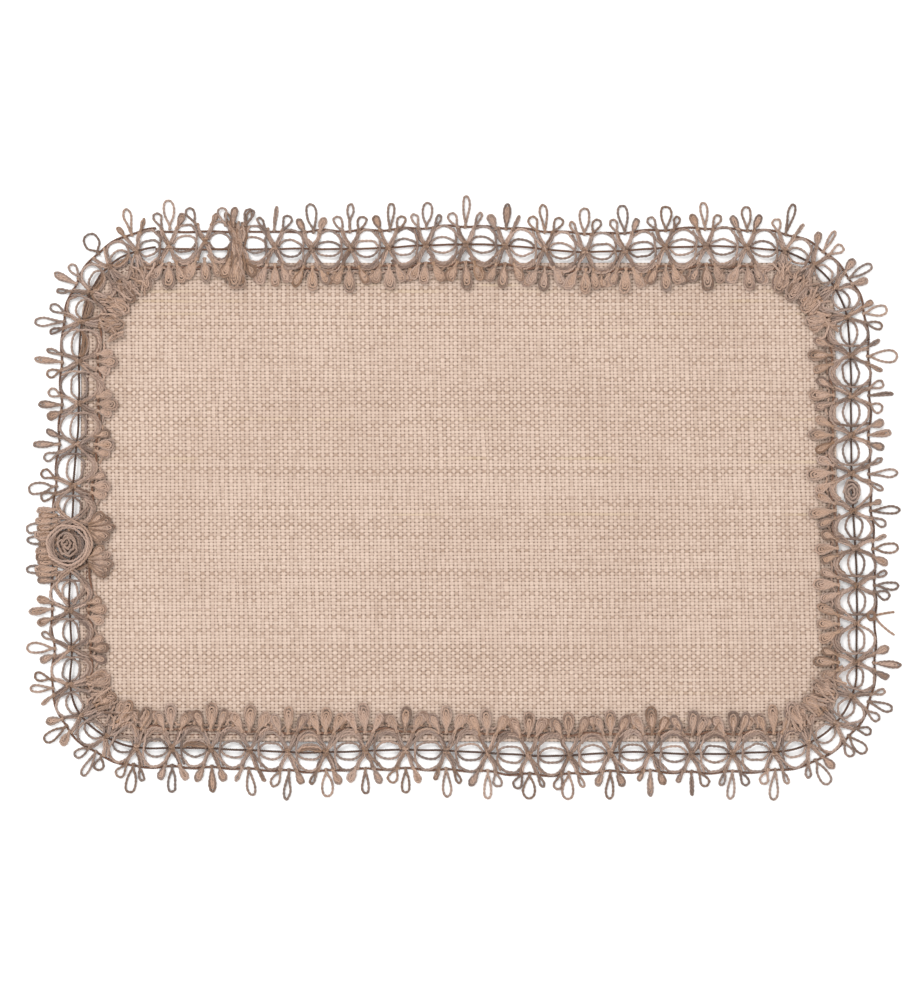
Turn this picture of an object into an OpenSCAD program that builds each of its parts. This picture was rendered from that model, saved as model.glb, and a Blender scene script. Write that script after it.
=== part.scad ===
// Table runner: a hemmed burlap panel edged all round with a strip of jute galloon lace.
// Millimetres. The origin is at the centre of the underside. +X runs along the long sides,
// +Y across the runner, and +Z points up from the table.
//
// The lace is three chain-stitched wales with jute twine laid through them. Two twines snake
// from side to side and cross under and over the middle wale at every motif, which leaves a row
// of rings. A third twine makes an eye in each ring, and others make fans of three petals.

/* [Burlap panel] */
// Length of the hemmed panel
panel_l = 394; // [380:1:410]
// Width of the hemmed panel
panel_w = 250; // [236:1:264]
// Corner radius of the hemmed panel
panel_r = 29; // [24:1:34]
// Thickness of one layer of burlap
cloth_t = 1; // [0.8:0.1:1.4]
// Width of the turned-under hem
hem_w = 11; // [9:0.5:13]
// How far the panel is sewn off the lace's centre, along X
panel_dx = -3; // [-4:0.5:4]
// How far the panel is sewn off the lace's centre, along Y
panel_dy = -1.3; // [-2:0.1:2]

/* [Lace strip] */
// How far the middle wale lies outside the panel's edge, on average
wale_out = 5.6; // [4.6:0.1:6.6]
// Corner radius of the middle wale
lace_r = 41; // [39:1:44]
// Number of motifs round the runner, which has to be even
motif_count = 64; // [62:2:66]
// Distance from the middle wale to the outer wale
outer_gap = 9.6; // [9.2:0.1:10]
// Distance from the middle wale to the inner wale
inner_gap = 10.2; // [9.8:0.1:10.6]
// How far the motifs are pulled on past even spacing on the right side, at its middle
creep_right = 6.5; // [0:0.5:8]
// How far the motifs are pulled on past even spacing on the left half of the bottom side
creep_bottom = 9; // [0:0.5:10]
// How far the motifs are pulled on past even spacing at the top left corner
creep_top_left = 10.5; // [0:0.5:12]

/* [Twine and thread] */
// Diameter of the jute twine
twine_d = 1.3; // [1.1:0.05:1.4]
// Diameter of a wale's chain of thread
wale_d = 0.8; // [0.6:0.05:0.9]
// Width of the sewing thread
thread_w = 0.5; // [0.3:0.05:0.6]

/* [Rings and petals] */
// Radius of a ring's bow
bow_r = 7.4; // [7:0.1:7.6]
// Half the height of the eye in a ring
eye_h = 3.5; // [3:0.1:4]
// Length of a fan's middle petal
petal_l = 13.4; // [12:0.1:14]
// Length of the longest middle petals, which set the overall size
long_petal_l = 15.7; // [14:0.1:16]
// Length of a fan's side petals
side_petal_l = 8.6; // [8:0.1:9]
// Radius of a petal's tip
petal_r = 1.7; // [1.5:0.05:1.8]
// Angle between a fan's petals
splay = 24; // [20:1:26]

/* [Hidden] */
$fn = 32;

// Sides, in the order that the lace is followed: clockwise from the middle of the top side.
TOP = 0;
RIGHT = 1;
BOTTOM = 2;
LEFT = 3;
CORNERS = 4;

burlap = [0.85, 0.75, 0.65];
jute = [0.72, 0.60, 0.52];
brown_thread = [0.42, 0.32, 0.26];

// The middle wale is a rounded rectangle. These are its half sides and its corners' centres.
// The motifs are spaced along the outer wale, so inside a corner they crowd together.
half_l = panel_l / 2 + wale_out;
half_w = panel_w / 2 + wale_out;
cx = half_l - lace_r;
cy = half_w - lace_r;
centres = [[cx, cy], [cx, -cy], [-cx, -cy], [-cx, cy]];
bend = (lace_r + outer_gap) * PI / 2;
lap = 4 * (cx + cy + bend);
pitch = lap / motif_count;
corner_start = [
    cx,
    cx + bend + 2 * cy,
    3 * cx + 2 * bend + 2 * cy,
    3 * cx + 3 * bend + 4 * cy
];
first_node = -1;
bottom_pull_x = 80;
bottom_pull_reach = 290;
corner_pull_reach = 176;

// The lace is a stack of three layers on the hem: twine, wales, twine. Outside the middle wale
// it slopes down to the table. lift_ is a layer's height over the hem.
twine_r = twine_d / 2;
wale_r = wale_d / 2;
clear = 0.05;
hem_top = 2 * cloth_t;
lift_under = twine_r;
lift_wale = twine_d + wale_r + clear;
lift_over = twine_d + wale_d + twine_r + 2 * clear;
lift_top = lift_over + twine_d + clear;
slope = atan(hem_top / outer_gap);
outer_reach = outer_gap / cos(slope);

// A straight bar is this much thinner than the bow it joins and runs this far into it.
leg_thinner = 0.03;
leg_into = 0.25;

// Motifs with something else in place of their ring, their eye or their fan.
rosette_ring = 46;
wound_ring = 15;
lap_node = 58;
fan_half = 4.4;

// The lace's path. s is the distance along the outer wale, and d the distance outside the middle one.
function passed(s) = len([for (c = corner_start) if (s >= c) 1]);
function past_corner(s) = passed(s) == 0 ? s + cx : s - corner_start[passed(s) - 1] - bend;
function heading(s) = -90 * passed(s) - 90 * min(0, past_corner(s)) / bend;
function outward(h) = [-sin(h), cos(h)];
function onward(h) = [cos(h), sin(h)];
function spot(s, d = 0) =
    centres[(passed(s) + 3) % 4]
    + (lace_r + d) * outward(heading(s))
    + max(0, past_corner(s)) * onward(heading(s));
function side_of(s) = past_corner(s) < 0 ? CORNERS : passed(s) % 4;

// Where the motifs sit. Node k is the crossing between rings k - 1 and k.
function hump(s, middle, half) = abs(s - middle) < half ? cos(90 * (s - middle) / half) : 0;
function creep(s) =
    creep_right * hump(s, cx + bend + cy, cy + bend / 2)
    + creep_bottom * hump(s, corner_start[2] - bottom_pull_x, bottom_pull_reach)
    + creep_top_left * hump(s, corner_start[3] + bend / 2, corner_pull_reach);
function node_s(k) = first_node + k * pitch + creep(first_node + k * pitch);
function ring_s(k) = (node_s(k) + node_s(k + 1)) / 2;
function turned(v, h) = [v.x * cos(h) - v.y * sin(h), v.x * sin(h) + v.y * cos(h)];
function node_in_ring(j, k) = turned(spot(node_s(j)) - spot(ring_s(k)), -heading(ring_s(k)));

// Angle at which a line from q touches a circle round c on the side given, 1 or -1.
function touch_angle(q, c, r, side) = atan2(q.y - c.y, q.x - c.x) + side * acos(r / norm(q - c));

module rod(a, b, r) {
    v = b - a;
    translate(a) rotate([0, acos(v.z / norm(v)), atan2(v.y, v.x)]) cylinder(h = norm(v), r = r);
}

// A round bar bent through an arc, from angle a to angle b, lying flat.
module arc_bar(radius, a, b, r) {
    rotate([0, 0, a]) rotate_extrude(angle = b - a) translate([radius, 0]) circle(r);
}

// Puts its children at s, with +X along the lace and +Y away from the runner.
module at(s, d = 0) {
    p = spot(s, d);
    translate([p.x, p.y, 0]) rotate([0, 0, heading(s)]) children();
}

// Puts its children in the lace's outer half, which slopes, or its inner half, which is level.
module outer_half(lift) {
    translate([0, 0, hem_top + lift]) rotate([-slope, 0, 0]) children();
}

module inner_half(lift) {
    translate([0, 0, hem_top + lift]) mirror([0, 1, 0]) children();
}

module rounded(l, w, r) {
    square([l - 2 * r, w], center = true);
    square([l, w - 2 * r], center = true);
    for (x = [-1, 1], y = [-1, 1]) {
        translate([x * (l / 2 - r), y * (w / 2 - r)]) circle(r);
    }
}

// The panel's outline, moved in by d.
module panel_outline(d) {
    translate([panel_dx, panel_dy]) rounded(panel_l - 2 * d, panel_w - 2 * d, panel_r - d);
}

// A line of sewing, sunk in the hem, d inside the panel's edge.
module seam(d) {
    translate([0, 0, hem_top - thread_w]) linear_extrude(thread_w) difference() {
        panel_outline(d - thread_w / 2);
        panel_outline(d + thread_w / 2);
    }
}

hem_seam_in = hem_w - 2;
lace_seam_in = 3.6;

module burlap_panel() color(burlap) difference() {
    linear_extrude(hem_top) panel_outline(0);
    translate([0, 0, cloth_t]) linear_extrude(hem_top) panel_outline(hem_w);
    seam(hem_seam_in);
    seam(lace_seam_in);
}

module hem_seam() color(burlap) seam(hem_seam_in);

module lace_seam() color(brown_thread) seam(lace_seam_in);

// A wale along one side, or round the four corners.
module wale(side, d, z) color(brown_thread) {
    if (side == CORNERS) {
        for (c = centres, sx = sign(c.x), sy = sign(c.y)) {
            translate([c.x, c.y, z]) mirror([sx < 0 ? 1 : 0, 0, 0]) mirror([0, sy < 0 ? 1 : 0, 0]) {
                arc_bar(lace_r + d, 0, 90, wale_r);
            }
        }
    } else {
        run = side % 2 == 0 ? cx : cy;
        away = side % 2 == 0 ? half_w : half_l;
        rotate([0, 0, -90 * side]) rod([-run, away + d, z], [run, away + d, z], wale_r);
    }
}

module outer_wale(side) wale(side, outer_gap, hem_top + lift_wale - outer_reach * sin(slope));

module middle_wale(side) wale(side, 0, hem_top + lift_wale);

module inner_wale(side) wale(side, -inner_gap, hem_top + lift_wale);

// The crossing twines snake from ring to ring. In each ring a twine makes a bow, on the outer or
// the inner half, and a straight link leads from a bow over the node to the next ring's bow.
function in_half(outer, p, lift) = outer
    ? [p.x, p.y * cos(slope), hem_top + lift - p.y * sin(slope)]
    : [p.x, -p.y, hem_top + lift];
function in_place(s, v) =
    let (p = spot(s) + turned([v.x, v.y], heading(s))) [p.x, p.y, v.z];
function bow_centre(outer) = [0, (outer ? outer_reach : inner_gap) - bow_r];

// The angle on ring k's bow at which it leaves for the node before it, end 0, or after it, end 1.
function bow_angle(k, outer, end) =
    let (q = node_in_ring(k + end, k))
    touch_angle([q.x, outer ? q.y : -q.y], bow_centre(outer), bow_r, 2 * end - 1);
function bow_end(k, outer, lift, end) = in_place(ring_s(k), in_half(outer,
    bow_centre(outer) + bow_r * onward(bow_angle(k, outer, end)), lift));
function node_point(k, lift) = in_place(node_s(k), [0, 0, hem_top + lift]);

module bow(k, outer, lift) {
    c = bow_centre(outer);
    arc_a = bow_angle(k, outer, 1);
    arc_b = bow_angle(k, outer, 0);
    at(ring_s(k)) {
        if (outer) {
            outer_half(lift) translate([c.x, c.y, 0]) arc_bar(bow_r, arc_a, arc_b, twine_r);
        } else {
            inner_half(lift) translate([c.x, c.y, 0]) arc_bar(bow_r, arc_a, arc_b, twine_r);
        }
    }
}

// A straight bar from p to q. It runs past p by over_p and past q by over_q.
module link(p, q, over_p, over_q) {
    v = (q - p) / norm(q - p);
    rod(p - over_p * v, q + over_q * v, twine_r - leg_thinner);
}

// One of the two crossing twines. It bows outward in rings with an even number if even is 1.
module crossing_twine(side, lift, even) color(jute) {
    for (k = [0 : motif_count - 1]) {
        if (side_of(ring_s(k)) == side && k != rosette_ring) {
            outer = (k + even) % 2 == 1;
            first = side_of(ring_s(k - 1)) != side || k - 1 == rosette_ring;
            last = side_of(ring_s(k + 1)) != side || k + 1 == rosette_ring;
            from = bow_end(k, outer, lift, 1);
            bow(k, outer, lift);
            if (first) {
                link(bow_end(k, outer, lift, 0), node_point(k, lift), leg_into, 0);
            }
            if (last) {
                link(from, node_point(k + 1, lift), leg_into, -twine_d - clear);
            } else {
                link(from, bow_end(k + 1, !outer, lift, 0), leg_into, leg_into);
            }
        }
    }
}

module under_twine(side) crossing_twine(side, lift_under, 1);

module over_twine(side) crossing_twine(side, lift_over, 0);

// The eye in a ring: two arcs that face each other across the middle wale, and a stay beside them.
eye_r = 6.9;
eye_angle = 45;
eye_shift = -1.4;
stay_x = 5.2;
stay_l = 5.2;

module eye_half() {
    translate([eye_shift, eye_h - eye_r, 0]) arc_bar(eye_r, 90 - eye_angle, 90 + eye_angle, twine_r);
}

module stay_half() {
    rod([stay_x, 0, 0], [stay_x, stay_l, 0], twine_r - leg_thinner);
}

module eye_twine(side) color(jute) {
    for (k = [0 : motif_count - 1]) {
        if (side_of(ring_s(k)) == side && k != rosette_ring && k != wound_ring) {
            at(ring_s(k)) {
                outer_half(lift_wale) eye_half();
                inner_half(lift_wale) eye_half();
                outer_half(lift_over) stay_half();
                inner_half(lift_over) stay_half();
                translate([stay_x, 0, hem_top + lift_over]) sphere(twine_r);
            }
        }
    }
}

// A petal: a teardrop loop of twine that lies flat, from the origin towards +Y.
module petal(length, r) {
    c = [0, length - r - twine_r];
    foot = [twine_r + clear, 0];
    a = touch_angle(foot, c, r, 1);
    p = c + r * onward(a);
    translate([c.x, c.y, 0]) arc_bar(r, a, 180 - a, twine_r);
    for (side = [0, 1]) {
        mirror([side, 0, 0]) link([p.x, p.y, 0], [foot.x, foot.y, 0], leg_into, 0);
    }
}

module fan(middle_l, side_l, foot, angle, middle_r, side_r) {
    petal(middle_l, middle_r);
    for (side = [-1, 1]) {
        translate([side * foot, 0, 0]) rotate([0, 0, -side * angle]) petal(side_l, side_r);
    }
}

function has_fan(k) = k != rosette_ring && k != rosette_ring + 1;
function middle_petal_l(k) = k % 4 == 0 ? long_petal_l : petal_l;

module outer_petals(side) color(jute) {
    for (k = [0 : motif_count - 1]) {
        if (side_of(node_s(k)) == side && has_fan(k)) {
            at(node_s(k), outer_gap + wale_r + clear) translate([0, 0, twine_r]) {
                fan(middle_petal_l(k), side_petal_l, fan_half, splay, petal_r, petal_r);
            }
        }
    }
}

// Inside a corner the fans close up, so their side petals are small and stand straight.
module inner_petals(side) color(jute) {
    corner = side == CORNERS;
    side_l = corner ? 5.6 : side_petal_l;
    foot = corner ? 3.3 : fan_half;
    angle = corner ? 0 : splay;
    tip_r = corner ? 0.85 : petal_r;
    for (k = [0 : motif_count - 1]) {
        if (side_of(node_s(k)) == side && has_fan(k)) {
            at(node_s(k), -inner_gap - wale_r - clear) translate([0, 0, hem_top + twine_r]) {
                mirror([0, 1, 0]) fan(petal_l - 0.8, side_l, foot, angle, petal_r, tip_r);
            }
        }
    }
}

// The rosette joins the two ends of the lace on the left side, in place of a ring.
rosette_loop_r = 9.6;
rosette_coil_r = [2, 4, 6];
rosette_petals = 13;
rosette_petal_step = 3.1;
rosette_petal_l = 12;
rosette_tip_r = 0.8;
rosette_fan_x = 8.6;
rosette_shift = 4;
rosette_s = ring_s(rosette_ring) + rosette_shift;

module rosette_loop() color(jute) at(rosette_s, 2) {
    translate([0, 0, hem_top + lift_top]) arc_bar(rosette_loop_r, 0, 360, twine_r);
}

module rosette_coil() color(jute) at(rosette_s, 2) {
    for (r = rosette_coil_r) {
        translate([0, 0, hem_top + lift_over]) arc_bar(r, 0, 360, twine_r);
    }
}

module rosette_outer_petals() color(jute) {
    at(rosette_s, outer_gap + wale_r + clear) for (i = [0 : rosette_petals - 1]) {
        extra = i % 4 == 2 ? long_petal_l - rosette_petal_l : 0;
        translate([(i - (rosette_petals - 1) / 2) * rosette_petal_step, 0, twine_r]) {
            petal(rosette_petal_l + extra, rosette_tip_r);
        }
    }
}

module rosette_inner_petals() color(jute) {
    at(rosette_s, -inner_gap - wale_r - clear) for (x = [-1, 1]) {
        translate([x * rosette_fan_x, 0, hem_top + twine_r]) mirror([0, 1, 0]) {
            fan(petal_l, side_petal_l, 3.6, 12, 1.3, 1.2);
        }
    }
}

// The lap join: the far end of the lace laid over its start and sewn down, near the top left.
lap_strands = 7;
lap_step = 1.4;
lap_inner_l = 21;
lap_shift = -2;

module lap_join_strands() color(jute) at(node_s(lap_node) + lap_shift) {
    for (i = [0 : lap_strands - 1]) {
        x = (i - (lap_strands - 1) / 2) * lap_step;
        outer_half(lift_top) rod([x, 0, 0], [x, outer_reach, 0], twine_r - leg_thinner);
        inner_half(lift_top) rod([x, 0, 0], [x, lap_inner_l, 0], twine_r - leg_thinner);
        translate([x, 0, hem_top + lift_top]) sphere(twine_r);
    }
}

module lap_join_petals() color(jute) at(node_s(lap_node) + lap_shift) {
    translate([0, outer_gap + wale_r + clear, 3 * twine_r + clear]) {
        fan(12.5, side_petal_l, 3.6, 18, 1.4, 1.4);
    }
    translate([0, -inner_gap - 4, hem_top + 3 * twine_r + clear]) mirror([0, 1, 0]) {
        fan(12.5, side_petal_l, 3.6, 18, 1.4, 1.4);
    }
}

// Small repairs and yarn ends on the right side and the top.
wound_eye_r = [1.4, 2.8, 4.2];

module wound_eye() color(jute) at(ring_s(wound_ring)) {
    for (r = wound_eye_r) {
        translate([0, 0, hem_top + lift_over]) arc_bar(r, 0, 360, twine_r);
    }
}

tail_knot_y = -61;
tail_knot_d = 7.6;
tail_knot_r = 1.5;
tail_l = 10.5;
tail_root = 0.8;
tail_tips = [-2, 10];

module tail_knot() color(jute) at(cx + bend + cy - tail_knot_y, tail_knot_d) {
    z = hem_top + lift_top - tail_knot_d * sin(slope);
    translate([0, 0, z]) arc_bar(tail_knot_r, 0, 360, twine_r);
    for (x = tail_tips) {
        tip = [x, tail_knot_r + tail_l, hem_top + twine_r];
        rod([sign(x) * tail_root, tail_knot_r, z], tip, twine_r - leg_thinner);
    }
}

edge_knot_x = 64;
edge_knot_d = -9.5;
edge_knot_r = 2;

module edge_knot() color(jute) at(edge_knot_x, edge_knot_d) {
    translate([0, 0, hem_top + lift_top]) arc_bar(edge_knot_r, 0, 360, twine_r);
}

burlap_panel();
hem_seam();
lace_seam();
outer_wale(TOP);  // outer_wale_top
outer_wale(RIGHT);  // outer_wale_right
outer_wale(BOTTOM);  // outer_wale_bottom
outer_wale(LEFT);  // outer_wale_left
outer_wale(CORNERS);  // outer_wale_corners
middle_wale(TOP);  // middle_wale_top
middle_wale(RIGHT);  // middle_wale_right
middle_wale(BOTTOM);  // middle_wale_bottom
middle_wale(LEFT);  // middle_wale_left
middle_wale(CORNERS);  // middle_wale_corners
inner_wale(TOP);  // inner_wale_top
inner_wale(RIGHT);  // inner_wale_right
inner_wale(BOTTOM);  // inner_wale_bottom
inner_wale(LEFT);  // inner_wale_left
inner_wale(CORNERS);  // inner_wale_corners
under_twine(TOP);  // under_twine_top
under_twine(RIGHT);  // under_twine_right
under_twine(BOTTOM);  // under_twine_bottom
under_twine(LEFT);  // under_twine_left
under_twine(CORNERS);  // under_twine_corners
over_twine(TOP);  // over_twine_top
over_twine(RIGHT);  // over_twine_right
over_twine(BOTTOM);  // over_twine_bottom
over_twine(LEFT);  // over_twine_left
over_twine(CORNERS);  // over_twine_corners
eye_twine(TOP);  // eye_twine_top
eye_twine(RIGHT);  // eye_twine_right
eye_twine(BOTTOM);  // eye_twine_bottom
eye_twine(LEFT);  // eye_twine_left
eye_twine(CORNERS);  // eye_twine_corners
outer_petals(TOP);  // outer_petals_top
outer_petals(RIGHT);  // outer_petals_right
outer_petals(BOTTOM);  // outer_petals_bottom
outer_petals(LEFT);  // outer_petals_left
outer_petals(CORNERS);  // outer_petals_corners
inner_petals(TOP);  // inner_petals_top
inner_petals(RIGHT);  // inner_petals_right
inner_petals(BOTTOM);  // inner_petals_bottom
inner_petals(LEFT);  // inner_petals_left
inner_petals(CORNERS);  // inner_petals_corners
rosette_loop();
rosette_coil();
rosette_outer_petals();
rosette_inner_petals();
lap_join_strands();
lap_join_petals();
wound_eye();
tail_knot();
edge_knot();
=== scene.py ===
"""The looks of the table runner: a hemmed burlap panel edged with jute galloon lace.

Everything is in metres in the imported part's frame: +X along the runner, +Y across it, +Z up,
with the table at z = 0. Shapes given as (x, y) pairs are in millimetres, for reading.
"""

import math

import bpy
import numpy as np
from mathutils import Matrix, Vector


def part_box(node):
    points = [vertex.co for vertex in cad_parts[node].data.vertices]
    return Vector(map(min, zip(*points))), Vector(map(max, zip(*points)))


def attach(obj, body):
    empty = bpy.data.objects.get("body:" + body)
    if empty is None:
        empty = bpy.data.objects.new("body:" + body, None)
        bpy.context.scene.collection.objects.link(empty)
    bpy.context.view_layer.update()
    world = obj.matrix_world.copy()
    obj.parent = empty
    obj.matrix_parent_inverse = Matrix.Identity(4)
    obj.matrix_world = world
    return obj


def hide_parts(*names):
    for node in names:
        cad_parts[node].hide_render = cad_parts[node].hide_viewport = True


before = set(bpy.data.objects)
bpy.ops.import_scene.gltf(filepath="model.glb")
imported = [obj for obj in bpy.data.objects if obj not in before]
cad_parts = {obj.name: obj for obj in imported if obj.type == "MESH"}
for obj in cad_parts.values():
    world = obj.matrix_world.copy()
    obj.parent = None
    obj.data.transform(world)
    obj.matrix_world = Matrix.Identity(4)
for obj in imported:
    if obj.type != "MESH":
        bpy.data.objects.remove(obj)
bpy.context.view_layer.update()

MM = 0.001
rng = np.random.default_rng(20)

# ---------------------------------------------------------------- camera, light, floor
CAMERA_DISTANCE = 1.7
CAMERA_ELEVATION = 86.0
FRAME_HEIGHT = 0.5205
LOOK_AT = Vector((-0.0012, -0.0008, 0.002))
SENSOR = 36.0


def add_camera():
    """A camera almost straight above, with a long lens."""
    data = bpy.data.cameras.new("camera")
    data.sensor_width = SENSOR
    data.lens = SENSOR * CAMERA_DISTANCE / FRAME_HEIGHT
    data.clip_end = 20
    cam = bpy.data.objects.new("camera", data)
    bpy.context.scene.collection.objects.link(cam)
    e = math.radians(CAMERA_ELEVATION)
    back = Vector((0, -math.cos(e), math.sin(e)))
    cam.location = LOOK_AT + back * CAMERA_DISTANCE
    cam.rotation_euler = (-back).to_track_quat("-Z", "Y").to_euler()
    bpy.context.scene.camera = cam


# The lights: name, place, size in metres and power in watts.
LIGHTS = (("key", (-1.0, 1.0, 1.8), 0.7, 21), ("fill", (1.2, -1.4, 1.8), 1.6, 8.5))
SKY_STRENGTH = 1.2
FLOOR_SIZE = 8
FLOOR_WHITE = 0.97


def add_area_light(name, place, size, watts):
    data = bpy.data.lights.new(name, "AREA")
    data.shape = "DISK"
    data.size = size
    data.energy = watts
    light = bpy.data.objects.new(name, data)
    light.location = place
    light.rotation_euler = (LOOK_AT - Vector(place)).to_track_quat("-Z", "Y").to_euler()
    bpy.context.scene.collection.objects.link(light)


def add_studio():
    """A flat white floor lit evenly from all round, with two lights that shape the weave."""
    world = bpy.data.worlds.new("studio")
    bpy.context.scene.world = world
    world.use_nodes = True
    sky = world.node_tree.nodes["Background"]
    sky.inputs["Color"].default_value = (1.0, 1.0, 1.0, 1)
    sky.inputs["Strength"].default_value = SKY_STRENGTH
    for light in LIGHTS:
        add_area_light(*light)
    scene = bpy.context.scene
    scene.view_settings.view_transform = "Standard"
    scene.view_settings.look = "None"

    bpy.ops.mesh.primitive_plane_add(size=FLOOR_SIZE, location=(0, 0, 0))
    floor = bpy.context.active_object
    floor.name = "floor"
    white = bpy.data.materials.new("floor_white")
    white.use_nodes = True
    shader = white.node_tree.nodes["Principled BSDF"]
    shader.inputs["Base Color"].default_value = (FLOOR_WHITE, FLOOR_WHITE, FLOOR_WHITE, 1)
    shader.inputs["Roughness"].default_value = 0.9
    shader.inputs["Specular IOR Level"].default_value = 0.1
    floor.data.materials.append(white)


# ---------------------------------------------------------------- measures from the CAD part
def centre_of(node):
    low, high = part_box(node)
    return (low + high) / 2


panel_low, panel_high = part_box("burlap_panel")
PANEL_MID = np.array([(panel_low.x + panel_high.x) / 2, (panel_low.y + panel_high.y) / 2])
PANEL_HALF = np.array([(panel_high.x - panel_low.x) / 2, (panel_high.y - panel_low.y) / 2])
PANEL_R = 29 * MM
HEM_W = 11 * MM
HEM_TOP = panel_high.z
CLOTH_T = HEM_TOP / 2

HALF_W = centre_of("middle_wale_top").y
HALF_L = centre_of("middle_wale_right").x
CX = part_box("middle_wale_top")[1].x
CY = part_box("middle_wale_right")[1].y
LACE_R = HALF_L - CX
OUTER_GAP = centre_of("outer_wale_top").y - HALF_W
INNER_GAP = HALF_W - centre_of("inner_wale_top").y
BEND = (LACE_R + OUTER_GAP) * math.pi / 2
LAP = 4 * (CX + CY + BEND)
MOTIFS = 64
PITCH = LAP / MOTIFS
FIRST_NODE = -1 * MM
CENTRES = np.array([[CX, CY], [CX, -CY], [-CX, -CY], [-CX, CY]])
LENGTHS = [2 * CX, BEND, 2 * CY, BEND] * 2
STARTS = np.concatenate([[0], np.cumsum(LENGTHS)])
SIDES = ["top", "right", "bottom", "left", "corners"]
ROSETTE_RING = 46
ROSETTE_SHIFT = 2.2 * MM
WOUND_RING = 15
LAP_NODE = 58
LAP_SHIFT = -2 * MM

# Where the lace was eased on past even spacing: how far, round which place and over what reach.
CREEPS = [
    (6.5 * MM, CX + BEND + CY, CY + BEND / 2),
    (9 * MM, 3 * CX + 2 * BEND + 2 * CY - 80 * MM, 290 * MM),
    (10.5 * MM, 3 * CX + 3.5 * BEND + 4 * CY, 176 * MM),
]

# Where the lace slipped along its path, and where it strayed outward: mm, node number, reach in nodes.
# Chosen to follow offsets between the render's rings and the photo's that a program measured.
SLIPS = [
    (1.8, 0, 90), (4.2, 10.5, 4.5), (-3.2, 18.5, 3.2), (2.3, 24, 4.2), (1.2, 34, 2.4), (-2.6, 39, 4),
    (-1.5, 45, 2.5), (0.9, 54.5, 2.2), (-3.6, 59.2, 2.2),
]
STRAYS = [
    (2.8, 64, 2.0), (-1.4, 3, 1.6), (1.8, 6, 1.6), (-3.0, 10, 1.9), (-1.4, 15, 1.8), (1.4, 18, 2.6),
    (1.9, 25.6, 1.8), (2.9, 29.6, 1.7), (1.2, 35.6, 1.2), (-1.1, 39, 1.7), (2.2, 42, 1.1),
    (-1.4, 43.9, 0.7), (1.2, 48, 1.3), (0.8, 51, 1.0), (-2.1, 53, 1.3), (4.6, 57.3, 1.5),
]

# Radii of the strands: the twine, the slightly thinner twine of eyes and petals, a wale's thread.
TWINE_R = 0.68 * MM
PLY_R = 0.63 * MM
THREAD_R = 0.3 * MM

# How high the middle of each layer's strands lies over what is under the lace.
LIFT_OUTER_WALE = 0.5 * MM
LIFT_UNDER = 0.82 * MM
LIFT_PETAL = 0.85 * MM
LIFT_WALE = 1.15 * MM
LIFT_OVER = 1.85 * MM
LIFT_TOP = 3.0 * MM


# ---------------------------------------------------------------- the lace's path
LEAN = 2.3 * MM


def lean(t):
    """How far the left side's lace strays: outward at its lower end, inward at its upper end."""
    x = (t - STARTS[6] - CY) / (CY + BEND / 2)
    return np.where(np.abs(x) < 1, -LEAN * np.sin(math.pi * x), 0)


def along(s, d):
    """World x, y at s along the outer wale and d outside the middle one, and the heading there."""
    s, d = np.broadcast_arrays(np.asarray(s, float), np.asarray(d, float))
    t = np.mod(s + CX, LAP)
    d = d + lean(t) + stray(s)
    part = np.clip(np.searchsorted(STARTS, t, side="right") - 1, 0, 7)
    x = t - STARTS[part]
    side, turning = part // 2, part % 2
    heading = -math.pi / 2 * (side + turning * x / BEND)
    out = np.stack([-np.sin(heading), np.cos(heading)], -1)
    on = np.stack([np.cos(heading), np.sin(heading)], -1)
    centre = CENTRES[np.where(turning == 1, side, (side + 3) % 4)]
    point = centre + (LACE_R + d)[..., None] * out + ((1 - turning) * x)[..., None] * on
    return point, heading


def side_of(s):
    """Which stretch of the lace s lies on: 0 to 3 for the sides, 4 for a corner."""
    part = int(np.clip(np.searchsorted(STARTS, (s + CX) % LAP, side="right") - 1, 0, 7))
    return 4 if part % 2 else part // 2


def hump(s, middle, half):
    return math.cos(math.pi / 2 * (s - middle) / half) if abs(s - middle) < half else 0.0


def near(k, middle, reach):
    """1 at node number middle of the closed lace, falling off as a bell curve over the reach."""
    away = np.mod(k - middle + MOTIFS / 2, MOTIFS) - MOTIFS / 2
    return np.exp(-((away / reach) ** 2))


def node_s(k):
    s = FIRST_NODE + k * PITCH
    s += sum(pull * hump(s, middle, reach) for pull, middle, reach in CREEPS)
    return s + sum(slip * MM * near(k, middle, reach) for slip, middle, reach in SLIPS)


def ring_s(k):
    return (node_s(k) + node_s(k + 1)) / 2


COUNTED = np.arange(-4, MOTIFS + 5)
COUNTED_S = np.array([node_s(k) for k in COUNTED])


def count_at(s):
    """The node number at s, with a share of one for the way to the next node."""
    return np.interp(s, COUNTED_S, COUNTED)


def stray(s):
    """How far outward the whole lace has strayed at s."""
    k = count_at(s)
    return sum(out * MM * near(k, middle, reach) for out, middle, reach in STRAYS)


def panel_distance(xy):
    """Distance outside the panel's rounded outline, negative inside it."""
    q = np.abs(xy - PANEL_MID) - (PANEL_HALF - PANEL_R)
    outside = np.linalg.norm(np.maximum(q, 0), axis=-1)
    return outside + np.minimum(np.max(q, axis=-1), 0) - PANEL_R


def smoothstep(a, b, x):
    t = np.clip((x - a) / (b - a), 0, 1)
    return t * t * (3 - 2 * t)


# The hem eases down to the field of the cloth, and the lace down from the panel's edge, this far.
HEM_STEP = 3 * MM
DROOP = 12 * MM


def rest_height(xy):
    """Height of what lies under the lace: the field of the cloth, its doubled hem, the table."""
    d = panel_distance(xy)
    on_cloth = CLOTH_T * (1 + smoothstep(-HEM_W - HEM_STEP, -HEM_W, d))
    return on_cloth * (1 - smoothstep(0, DROOP, d))


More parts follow.
